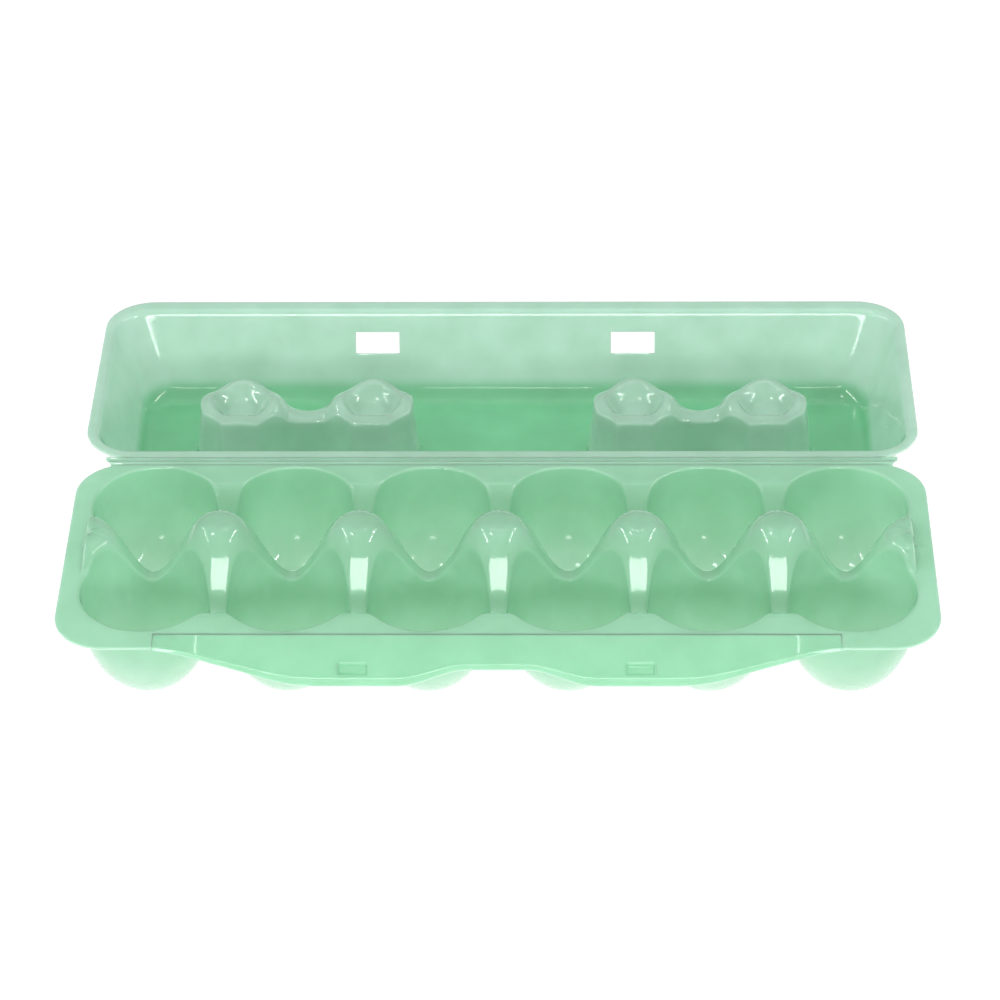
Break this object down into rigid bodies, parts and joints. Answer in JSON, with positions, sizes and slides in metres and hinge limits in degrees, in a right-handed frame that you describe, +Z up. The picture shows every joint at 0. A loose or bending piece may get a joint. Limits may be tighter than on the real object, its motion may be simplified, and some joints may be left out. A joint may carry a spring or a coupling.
{
  "type": "egg carton",
  "caption": "Hinged moulded egg carton, open, with round egg cells, centre posts, a domed lid with support bosses and windows, and a lock flap with buttons.",
  "frame": {"origin": "on the table, under the middle of the open carton's bounding box, close to the hinge", "axes": "+X along the carton, +Y from the lock flap across the tray to the lid, +Z up"},
  "size_m": [0.292, 0.2146, 0.0477],
  "materials": {
    "tray_sheet": "mint green thermoformed polystyrene foam sheet with a glossy, slightly translucent skin",
    "lid_sheet": "mint green thermoformed polystyrene foam sheet with a glossy, slightly translucent skin",
    "flap_sheet": "mint green thermoformed polystyrene foam sheet with a glossy, slightly translucent skin",
    "hinge_sheet": "mint green foam sheet pressed thin at the fold lines"
  },
  "bodies": {
    "tray": {"centre_post_1": "tray_sheet", "centre_post_2": "tray_sheet", "centre_post_3": "tray_sheet", "centre_post_4": "tray_sheet", "centre_post_5": "tray_sheet", "egg_cell_front_1": "tray_sheet", "egg_cell_front_2": "tray_sheet", "egg_cell_front_3": "tray_sheet", "egg_cell_front_4": "tray_sheet", "egg_cell_front_5": "tray_sheet", "egg_cell_front_6": "tray_sheet", "egg_cell_rear_1": "tray_sheet", "egg_cell_rear_2": "tray_sheet", "egg_cell_rear_3": "tray_sheet", "egg_cell_rear_4": "tray_sheet", "egg_cell_rear_5": "tray_sheet", "egg_cell_rear_6": "tray_sheet", "end_post_left": "tray_sheet", "end_post_right": "tray_sheet", "gusset_front_1": "tray_sheet", "gusset_front_2": "tray_sheet", "gusset_front_3": "tray_sheet", "gusset_front_4": "tray_sheet", "gusset_front_5": "tray_sheet", "gusset_rear_1": "tray_sheet", "gusset_rear_2": "tray_sheet", "gusset_rear_3": "tray_sheet", "gusset_rear_4": "tray_sheet", "gusset_rear_5": "tray_sheet", "tray_rim": "tray_sheet"},
    "hinge": {"hinge_strip": "hinge_sheet"},
    "lid": {"lid_shell": "lid_sheet", "lid_support_left": "lid_sheet", "lid_support_right": "lid_sheet"},
    "flap": {"lock_button_left": "flap_sheet", "lock_button_right": "flap_sheet", "lock_flap": "flap_sheet"}
  },
  "joints": [
    {"name": "strip_fold", "type": "hinge", "parent": "tray", "child": "hinge", "pos_m": [0, 0.00209, 0.0351], "axis": [1, 0, 0], "range_deg": [0, 90.9]},
    {"name": "lid_fold", "type": "hinge", "parent": "hinge", "child": "lid", "pos_m": [0, 0.00509, 0.0351], "axis": [1, 0, 0], "range_deg": [0, 90.9]},
    {"name": "flap_fold", "type": "hinge", "parent": "tray", "child": "flap", "pos_m": [0, -0.09316, 0.0356], "axis": [-1, 0, 0], "range_deg": [-40, 148], "stiffness_Nm_per_rad": 0.004}
  ],
  "couplings": [
    {"joint": "lid_fold", "follows": "strip_fold", "ratio": 1}
  ]
}
